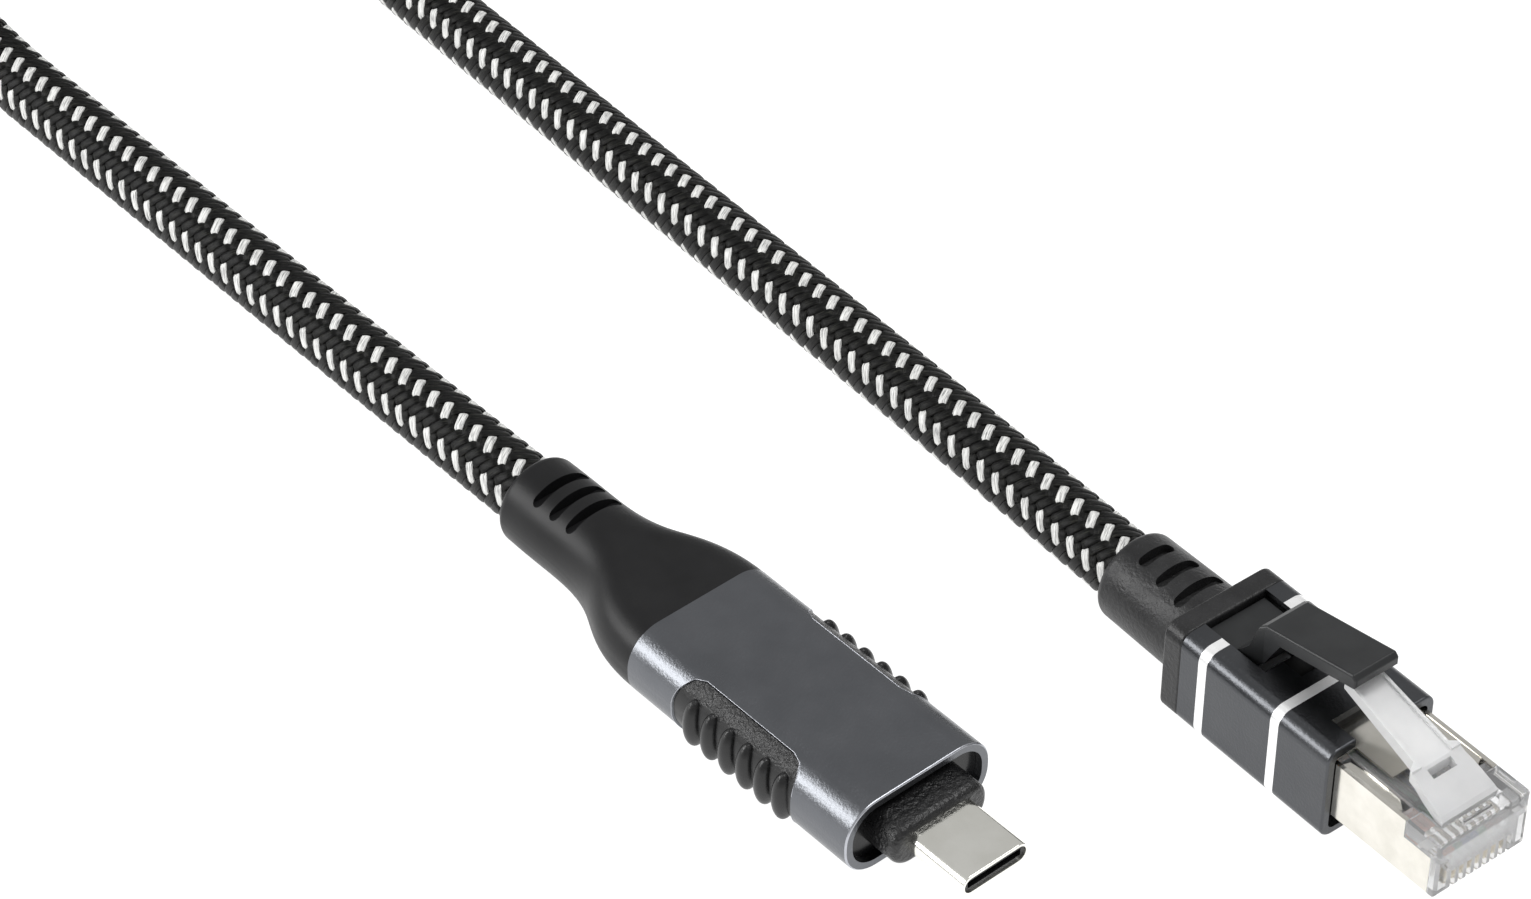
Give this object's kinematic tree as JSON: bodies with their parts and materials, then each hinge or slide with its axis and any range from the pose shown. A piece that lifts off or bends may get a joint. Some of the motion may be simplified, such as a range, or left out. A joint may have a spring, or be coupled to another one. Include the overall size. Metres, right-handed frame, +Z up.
{
  "type": "usb-c to rj45 network cable",
  "caption": "Braided network cable with a shielded RJ45 plug at one end and a USB-C plug with a network adapter inside its grip at the other, spare length coiled and tied.",
  "frame": {"origin": "on the surface that the cable lies on, below the middle of the box round its two plugs", "axes": "+X the way both plugs point, +Y from the USB-C plug to the RJ45 plug, +Z up"},
  "size_m": [0.286, 0.0837, 0.0235],
  "materials": {
    "sleeve_metal": "fine satin anodised, dark blue-grey",
    "rj45_boot_black": "matte moulded, fine grain",
    "usbc_boot_black": "satin moulded, smooth",
    "lever_plastic": "satin charcoal",
    "inner_mould": "matte",
    "clear_plastic": "clear polycarbonate",
    "shield_nickel": "nickel plated, satin",
    "gold_contacts": "gold plated, polished",
    "jacket_plastic": "matte",
    "ferrule_steel": "plain crimped steel",
    "wire_orange": "satin insulation",
    "wire_green": "satin insulation",
    "wire_blue": "satin insulation",
    "wire_brown": "satin insulation",
    "usbc_shell_steel": "polished nickel plate",
    "insulator_black": "matte",
    "spring_steel": "plain",
    "grip_rubber": "crackle grained field with smooth ribs",
    "insert_black": "gloss",
    "collar_black": "crackle grain on its front edge",
    "card_green": "solder mask",
    "chip_black": "matte epoxy",
    "crystal_can": "plain",
    "passive_tan": "ceramic",
    "can_steel": "tinned sheet",
    "cord_braid": "black multi-filament braid with white flecks",
    "tie_fabric": "hook and loop strap"
  },
  "bodies": {
    "cable": {"rj45_sleeve": "sleeve_metal", "rj45_inner_mould": "inner_mould", "rj45_boot": "rj45_boot_black", "rj45_jacket_end": "jacket_plastic", "rj45_ferrule": "ferrule_steel", "rj45_plug_body": "clear_plastic", "rj45_shield": "shield_nickel", "rj45_contacts": "gold_contacts", "rj45_load_bar": "clear_plastic", "rj45_orange_pair": "wire_orange", "rj45_green_pair": "wire_green", "rj45_blue_pair": "wire_blue", "rj45_brown_pair": "wire_brown", "usbc_sleeve": "sleeve_metal", "usbc_grip_near": "grip_rubber", "usbc_grip_far": "grip_rubber", "usbc_front_insert": "insert_black", "usbc_nose_collar": "collar_black", "usbc_shell": "usbc_shell_steel", "usbc_insulator": "insulator_black", "usbc_upper_contacts": "gold_contacts", "usbc_lower_contacts": "gold_contacts", "usbc_side_latches": "spring_steel", "usbc_emi_springs": "spring_steel", "usbc_circuit_card": "card_green", "usbc_network_controller": "chip_black", "usbc_magnetics": "chip_black", "usbc_crystal": "crystal_can", "usbc_passives": "passive_tan", "usbc_shield_can": "can_steel", "usbc_orange_pair": "wire_orange", "usbc_green_pair": "wire_green", "usbc_blue_pair": "wire_blue", "usbc_brown_pair": "wire_brown", "usbc_jacket_end": "jacket_plastic", "usbc_ferrule": "ferrule_steel", "usbc_boot": "usbc_boot_black", "cord_rj45_run": "cord_braid", "cord_usbc_run": "cord_braid", "cord_coil": "cord_braid", "cord_tie": "tie_fabric"},
    "lever": {"rj45_release_lever": "lever_plastic"},
    "latch": {"rj45_latch": "clear_plastic"}
  },
  "joints": [
    {"name": "lever_press", "type": "hinge", "parent": "cable", "child": "lever", "pos_m": [0.0143, 0.0203, 0.01], "axis": [0, 1, 0], "range_deg": [0, 8], "stiffness_Nm_per_rad": 0.3},
    {"name": "latch_press", "type": "hinge", "parent": "cable", "child": "latch", "pos_m": [0.045, 0.0203, 0.00945], "axis": [0, -1, 0], "range_deg": [0, 9], "stiffness_Nm_per_rad": 0.2}
  ],
  "couplings": [
    {"joint": "latch_press", "follows": "lever_press", "ratio": 1.1}
  ]
}
